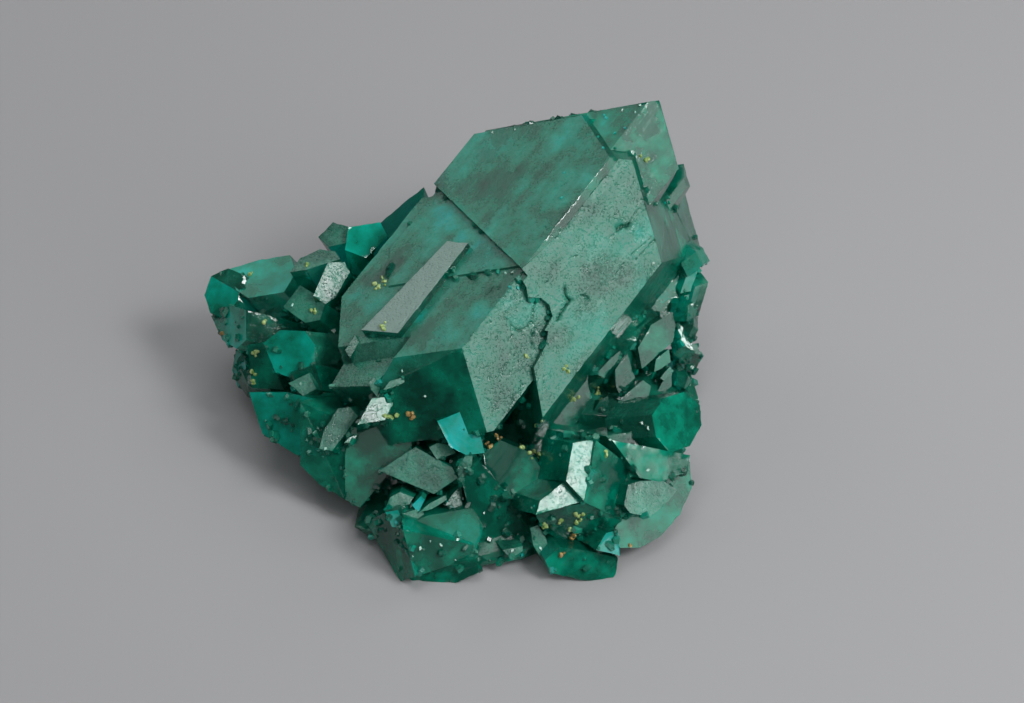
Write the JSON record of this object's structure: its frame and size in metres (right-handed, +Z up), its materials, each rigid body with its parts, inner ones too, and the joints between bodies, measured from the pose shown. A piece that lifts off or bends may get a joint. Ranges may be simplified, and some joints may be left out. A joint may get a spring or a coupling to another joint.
{
  "type": "dioptase crystal specimen",
  "caption": "Cluster of emerald green dioptase crystals, one large tilted crystal rising from smaller ones on a flat broken foot.",
  "frame": {"origin": "middle of the specimen's outline at the level of its flat broken foot", "axes": "+Z up from the resting surface, -Y toward the side that the picture shows, +X to the right of it"},
  "size_m": [0.0318, 0.0298, 0.0183],
  "materials": {
    "dioptase": "clear to cloudy emerald green crystal with etched frosty faces"
  },
  "bodies": {
    "root": {"dioptase_cluster": "dioptase"}
  },
  "joints": []
}
